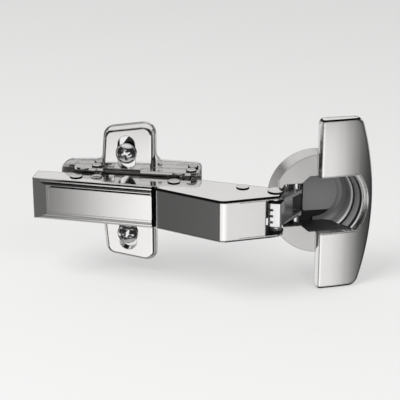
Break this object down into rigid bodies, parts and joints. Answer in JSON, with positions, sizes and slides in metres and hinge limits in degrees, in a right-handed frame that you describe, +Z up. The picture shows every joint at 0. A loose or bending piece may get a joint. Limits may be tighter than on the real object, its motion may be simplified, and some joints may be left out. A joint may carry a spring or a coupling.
{
  "type": "concealed cabinet hinge",
  "caption": "Cranked clip-on concealed cabinet hinge with a round cup, cover caps and a cross-shaped mounting plate, shown with the door open.",
  "frame": {"origin": "midway between the two fixing screws, on the plane where the mounting plate meets the panel", "axes": "+X along the panel to its front edge, +Y into the panel along the fixing screws, +Z up, along the line of the two screws"},
  "size_m": [0.1255, 0.0441, 0.0664],
  "materials": {
    "plate_nickel": "polished nickel plate on pressed steel",
    "arm_nickel": "polished nickel plate on pressed steel",
    "cap_nickel": "polished nickel plate on thin pressed steel",
    "cup_nickel": "satin nickel plate",
    "screw_chrome": "bright plated steel",
    "barrel_chrome": "bright plated steel",
    "pin_steel": "ground steel, riveted",
    "link_steel": "nickel plate on pressed steel",
    "clip_steel": "nickel plate, unpolished",
    "latch_steel": "nickel plate, unpolished",
    "spring_steel": "oiled spring steel",
    "insert_plastic": "moulded grey plastic"
  },
  "bodies": {
    "base": {"mounting_plate": "plate_nickel", "fixing_screws": "screw_chrome", "plate_pins": "pin_steel", "base_clip": "clip_steel", "latch_spring": "spring_steel"},
    "release_latch": {"release_latch": "latch_steel"},
    "carriage": {"carriage": "clip_steel"},
    "depth_screw": {"depth_screw": "screw_chrome"},
    "overlay_screw": {"overlay_screw": "screw_chrome"},
    "arm": {"arm_channel": "arm_nickel", "arm_cover_cap": "cap_nickel", "tilt_pin": "pin_steel", "spring_pin": "pin_steel", "closing_spring": "spring_steel", "front_pivot_pin": "pin_steel", "rear_pivot_pin": "pin_steel", "pivot_bushes": "barrel_chrome"},
    "outer_link": {"outer_link": "barrel_chrome"},
    "cup": {"hinge_cup": "cup_nickel", "cup_insert": "insert_plastic", "cup_cover_cap": "cap_nickel", "outer_cup_pins": "pin_steel", "inner_cup_pin": "pin_steel", "cup_screws": "screw_chrome"},
    "inner_link": {"inner_link": "link_steel"}
  },
  "joints": [
    {"name": "latch_slide", "type": "slide", "parent": "base", "child": "release_latch", "axis": [1, 0, 0], "range_m": [0, 0.003], "stiffness_N_per_m": 800, "springref_m": -0.003, "deforming": ["latch_spring"]},
    {"name": "depth_slide", "type": "slide", "parent": "base", "child": "carriage", "axis": [1, 0, 0], "range_m": [-0.0017, 0.0017]},
    {"name": "depth_screw_turn", "type": "hinge", "parent": "carriage", "child": "depth_screw", "pos_m": [-0.008, -0.009, 0], "axis": [0, -1, 0], "range_deg": [-45.1, 45.1]},
    {"name": "overlay_screw_turn", "type": "hinge", "parent": "carriage", "child": "overlay_screw", "pos_m": [0.004, -0.009, 0], "axis": [0, -1, 0], "range_deg": [-180.1, 180.1]},
    {"name": "arm_tilt", "type": "hinge", "parent": "carriage", "child": "arm", "pos_m": [-0.0179, -0.0103, 0], "axis": [0, 0, 1], "range_deg": [-1.4, 1.4]},
    {"name": "outer_link_turn", "type": "hinge", "parent": "arm", "child": "outer_link", "pos_m": [0.0575, -0.0145, 0], "axis": [0, 0, 1], "range_deg": [-0.01, 44.34]},
    {"name": "door_swing", "type": "hinge", "parent": "outer_link", "child": "cup", "pos_m": [0.06375, -0.00233, 0], "axis": [0, 0, 1], "range_deg": [-154.33, 0]},
    {"name": "inner_link_turn", "type": "hinge", "parent": "cup", "child": "inner_link", "pos_m": [0.05988, -0.00349, 0], "axis": [0, 0, 1], "range_deg": [-0.01, 139.48]}
  ],
  "couplings": [
    {"joint": "depth_screw_turn", "follows": "depth_slide", "rad_per_m": 462},
    {"joint": "overlay_screw_turn", "follows": "arm_tilt", "ratio": 128.57},
    {"joint": "outer_link_turn", "follows": "door_swing", "ratio": -0.28724},
    {"joint": "inner_link_turn", "follows": "door_swing", "ratio": -0.9037}
  ]
}
